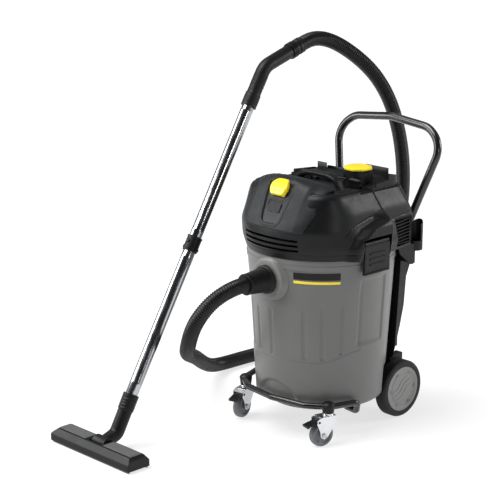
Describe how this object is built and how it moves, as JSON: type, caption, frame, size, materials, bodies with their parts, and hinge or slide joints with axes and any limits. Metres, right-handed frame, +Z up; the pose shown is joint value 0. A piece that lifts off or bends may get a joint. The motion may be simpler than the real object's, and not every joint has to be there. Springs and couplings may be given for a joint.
{
  "type": "shop vacuum",
  "caption": "Wheeled wet and dry shop vacuum: grey tank, dark motor head with storage tray, push handle, free hose, steel wand and wide floor nozzle.",
  "frame": {"origin": "on the floor under the middle of the object, without its hose", "axes": "+Z up, -Y towards the front with the suction inlet and the nozzle, +X towards the side away from the wand"},
  "size_m": [0.7937, 1.2905, 1.1677],
  "materials": {
    "tank_plastic": "satin moulded grey plastic",
    "head_plastic": "fine-grained dark moulded plastic",
    "black_plastic": "fine-grained black plastic",
    "plate_black": "smooth black",
    "tube_black": "gloss black powder coat",
    "screws_steel": "zinc-plated",
    "caster_zinc": "bright zinc plate",
    "caster_rubber": "grey rubber",
    "tyre_black": "matt black rubber",
    "hub_grey": "satin grey plastic",
    "seal_rubber": "matt black rubber",
    "yellow_plastic": "gloss yellow plastic",
    "spring_steel": "bright",
    "filter_paper": "pleated filter paper",
    "motor_metal": "as cast",
    "float_plastic": "plain",
    "circuit_box": "plain",
    "switch_grey": "satin grey plastic",
    "hose_plastic": "corrugated black plastic",
    "wand_steel": "polished stainless steel",
    "panel_grey": "satin grey plastic"
  },
  "bodies": {
    "machine": {"tank": "tank_plastic", "inlet_boss": "tank_plastic", "inlet_deflector": "head_plastic", "label_plate": "plate_black", "base_ring": "black_plastic", "rear_columns": "black_plastic", "bumper_tube": "tube_black", "caster_sockets": "black_plastic", "column_screws": "screws_steel", "rear_axle": "screws_steel", "push_handle": "tube_black", "tool_holders": "black_plastic", "cable_hook": "black_plastic", "hose": "hose_plastic", "wand_handle": "black_plastic", "wand_tubes": "wand_steel", "wand_collar": "black_plastic", "nozzle_neck": "black_plastic"},
    "head": {"head_shell": "head_plastic", "front_panel": "head_plastic", "carry_handle": "head_plastic", "side_vents": "black_plastic", "motor_plate": "black_plastic", "rim_seal": "seal_rubber", "hinge_pins": "screws_steel", "flat_filter": "filter_paper", "filter_frame": "head_plastic", "motor_housings": "motor_metal", "float_cage": "head_plastic", "control_box": "circuit_box", "cable_gland": "black_plastic", "switch_frame": "black_plastic", "head_screws": "screws_steel"},
    "cover": {"filter_cover": "head_plastic", "button_spring": "spring_steel"},
    "button": {"filter_button": "yellow_plastic"},
    "fan_a": {"fan_left": "motor_metal"},
    "fan_b": {"fan_right": "motor_metal"},
    "float": {"float_valve": "float_plastic"},
    "latch_left": {"side_latch_left": "black_plastic"},
    "latch_right": {"side_latch_right": "black_plastic"},
    "latch_front": {"front_latch": "yellow_plastic"},
    "switch": {"power_switch": "switch_grey"},
    "fork_left": {"caster_fork_left": "caster_zinc", "caster_axle_left": "screws_steel"},
    "fork_right": {"caster_fork_right": "caster_zinc", "caster_axle_right": "screws_steel"},
    "caster_left": {"caster_wheel_left": "caster_rubber"},
    "caster_right": {"caster_wheel_right": "caster_rubber"},
    "pedal_left": {"brake_pedal_left": "black_plastic"},
    "pedal_right": {"brake_pedal_right": "black_plastic"},
    "wheel_left": {"rear_tyre_left": "tyre_black", "rear_hub_left": "hub_grey"},
    "wheel_right": {"rear_tyre_right": "tyre_black", "rear_hub_right": "hub_grey"},
    "cuff": {"hose_cuff": "black_plastic"},
    "slider": {"air_slider": "black_plastic"},
    "floor_head": {"nozzle": "black_plastic", "nozzle_strips": "seal_rubber", "nozzle_panels": "panel_grey"}
  },
  "joints": [
    {"name": "head_lift", "type": "slide", "parent": "machine", "child": "head", "axis": [0, 0, 1], "range_m": [0, 0.24]},
    {"name": "cover_open", "type": "hinge", "parent": "head", "child": "cover", "pos_m": [0.089, 0.24075, 0.766], "axis": [1, 0, 0], "range_deg": [0, 85]},
    {"name": "button_press", "type": "slide", "parent": "cover", "child": "button", "axis": [0, 0, -1], "range_m": [0, 0.005], "stiffness_N_per_m": 1500, "springref_m": -0.006, "deforming": ["button_spring"]},
    {"name": "fan_spin_left", "type": "hinge", "parent": "head", "child": "fan_a", "pos_m": [0.009, 0.14075, 0.6], "axis": [0, 0, 1], "continuous": true},
    {"name": "fan_spin_right", "type": "hinge", "parent": "head", "child": "fan_b", "pos_m": [0.169, 0.14075, 0.6], "axis": [0, 0, 1], "continuous": true},
    {"name": "float_rise", "type": "slide", "parent": "head", "child": "float", "axis": [0, 0, 1], "range_m": [0, 0.03]},
    {"name": "side_latch_left_open", "type": "hinge", "parent": "head", "child": "latch_left", "pos_m": [-0.142, 0.20075, 0.611], "axis": [0, 1, 0], "range_deg": [0, 75]},
    {"name": "side_latch_right_open", "type": "hinge", "parent": "head", "child": "latch_right", "pos_m": [0.32, 0.20075, 0.611], "axis": [0, -1, 0], "range_deg": [0, 75]},
    {"name": "front_latch_lift", "type": "hinge", "parent": "head", "child": "latch_front", "pos_m": [0.089, 0.05075, 0.782], "axis": [-1, 0, 0], "range_deg": [0, 35]},
    {"name": "switch_rock", "type": "hinge", "parent": "head", "child": "switch", "pos_m": [0.089, 0.00331, 0.70518], "axis": [1, 0, 0], "range_deg": [0, 10]},
    {"name": "caster_swivel_left", "type": "hinge", "parent": "machine", "child": "fork_left", "pos_m": [-0.087, 0.05175, 0.06], "axis": [0, 0, 1], "continuous": true},
    {"name": "caster_roll_left", "type": "hinge", "parent": "fork_left", "child": "caster_left", "pos_m": [-0.08079, 0.02857, 0.0375], "axis": [0.9659, 0.2588, 0], "continuous": true},
    {"name": "brake_press_left", "type": "hinge", "parent": "fork_left", "child": "pedal_left", "pos_m": [-0.07639, 0.01215, 0.081], "axis": [0.9659, 0.2588, 0], "range_deg": [0, 15]},
    {"name": "rear_wheel_left", "type": "hinge", "parent": "machine", "child": "wheel_left", "pos_m": [-0.069, 0.39175, 0.09], "axis": [1, 0, 0], "continuous": true},
    {"name": "caster_swivel_right", "type": "hinge", "parent": "machine", "child": "fork_right", "pos_m": [0.265, 0.05175, 0.06], "axis": [0, 0, 1], "continuous": true},
    {"name": "caster_roll_right", "type": "hinge", "parent": "fork_right", "child": "caster_right", "pos_m": [0.25879, 0.02857, 0.0375], "axis": [0.9659, -0.2588, 0], "continuous": true},
    {"name": "brake_press_right", "type": "hinge", "parent": "fork_right", "child": "pedal_right", "pos_m": [0.25439, 0.01215, 0.081], "axis": [0.9659, -0.2588, 0], "range_deg": [0, 15]},
    {"name": "rear_wheel_right", "type": "hinge", "parent": "machine", "child": "wheel_right", "pos_m": [0.247, 0.39175, 0.09], "axis": [1, 0, 0], "continuous": true},
    {"name": "cuff_turn", "type": "hinge", "parent": "machine", "child": "cuff", "pos_m": [0.089, -0.07925, 0.495], "axis": [0, 1, 0], "continuous": true},
    {"name": "air_slide", "type": "slide", "parent": "machine", "child": "slider", "axis": [0, 0.9487, 0.3162], "range_m": [-0.008, 0.008]},
    {"name": "nozzle_tilt", "type": "hinge", "parent": "machine", "child": "floor_head", "pos_m": [-0.151, -0.47525, 0.031], "axis": [1, 0, 0], "range_deg": [-30, 40]}
  ]
}
